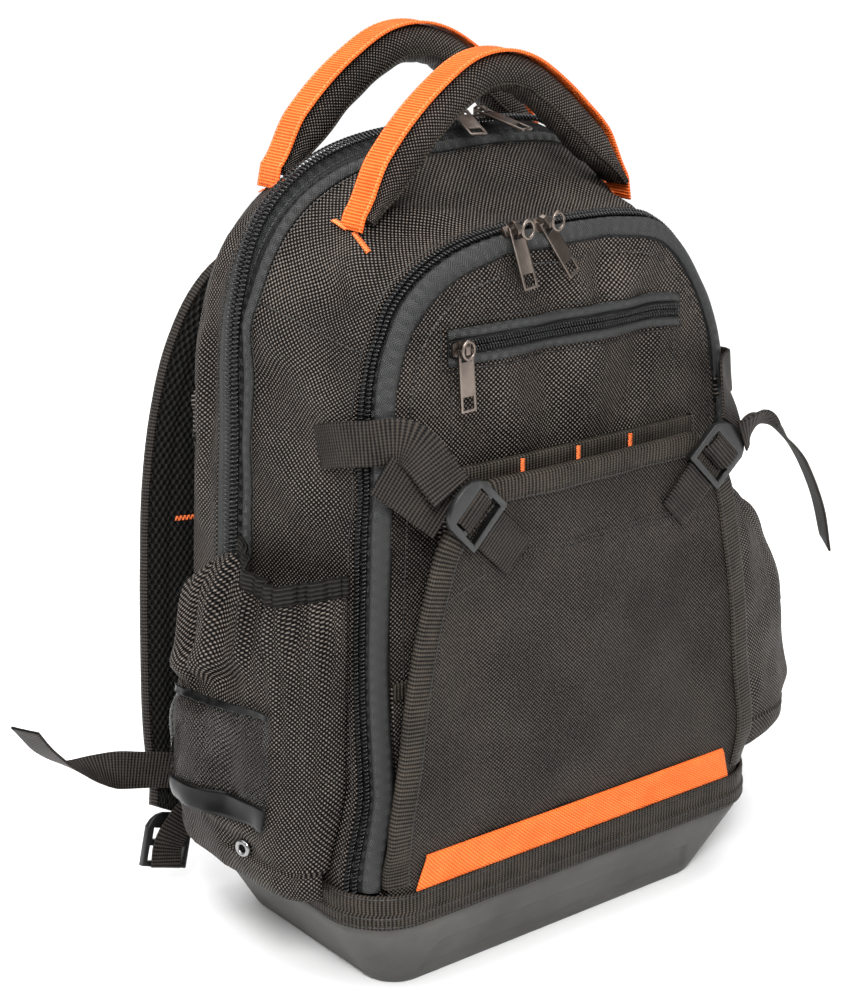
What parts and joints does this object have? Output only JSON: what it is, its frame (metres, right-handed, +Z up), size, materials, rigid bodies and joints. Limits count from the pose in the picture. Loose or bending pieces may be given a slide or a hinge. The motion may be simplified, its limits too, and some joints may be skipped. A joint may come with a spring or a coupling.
{
  "type": "tool backpack",
  "caption": "Soft tool backpack on a moulded base, with arched zips, a front flap over open pockets, gathered side pockets, padded handles and shoulder straps.",
  "frame": {"origin": "on the flat underside of the moulded base, on the centre line of its width", "axes": "+Z up towards the carry handles, -Y towards the front flap, +Y towards the wearer, +X to the right seen from the front"},
  "size_m": [0.5322, 0.2555, 0.5351],
  "materials": {
    "moulded_base": "matte, finely grained",
    "ballistic_nylon": "coarse two-tone weave",
    "zip_tape": "herringbone tape with a black coil",
    "satin_elastic": "satin, slightly glossy",
    "orange_webbing": "cross-ribbed webbing",
    "gunmetal": "dark antique nickel",
    "dark_webbing": "ribbed webbing",
    "black_plastic": "satin black",
    "spacer_mesh": "open spacer mesh",
    "clear_sheet": "clear flexible sheet"
  },
  "bodies": {
    "root": {"base_tray": "moulded_base", "base_band": "dark_webbing", "rear_shell": "ballistic_nylon", "middle_shell": "ballistic_nylon", "front_shell": "ballistic_nylon", "main_zip": "zip_tape", "main_piping": "satin_elastic", "front_zip": "zip_tape", "front_piping": "satin_elastic", "pocket_zip": "zip_tape", "tool_pocket": "ballistic_nylon", "tool_pocket_binding": "dark_webbing", "front_flap": "ballistic_nylon", "flap_binding": "dark_webbing", "orange_stripe": "orange_webbing", "side_pocket_left": "ballistic_nylon", "pocket_cuff_left": "satin_elastic", "eyelet_left": "gunmetal", "compression_strap_left": "dark_webbing", "buckle_tab_left": "dark_webbing", "shoulder_strap_left": "spacer_mesh", "shoulder_web_left": "dark_webbing", "shoulder_anchor_left": "dark_webbing", "waist_strap_left": "dark_webbing", "buckle_left": "black_plastic", "shoulder_buckle_left": "black_plastic", "side_pocket_right": "ballistic_nylon", "pocket_cuff_right": "satin_elastic", "eyelet_right": "gunmetal", "compression_strap_right": "dark_webbing", "buckle_tab_right": "dark_webbing", "shoulder_strap_right": "spacer_mesh", "shoulder_web_right": "dark_webbing", "shoulder_anchor_right": "dark_webbing", "waist_strap_right": "dark_webbing", "buckle_right": "black_plastic", "shoulder_buckle_right": "black_plastic", "label_window": "clear_sheet", "strap_tail_left": "dark_webbing", "strap_tail_right": "dark_webbing", "handle_front": "ballistic_nylon", "handle_web_front": "orange_webbing", "handle_rear": "ballistic_nylon", "handle_web_rear": "orange_webbing", "back_pad": "spacer_mesh", "lumbar_pad": "spacer_mesh", "main_left_slider": "gunmetal", "main_left_pull": "gunmetal", "main_right_slider": "gunmetal", "main_right_pull": "gunmetal", "front_left_slider": "gunmetal", "front_left_pull": "gunmetal", "front_right_slider": "gunmetal", "front_right_pull": "gunmetal", "pocket_slider": "gunmetal", "pocket_pull": "gunmetal"}
  },
  "joints": []
}
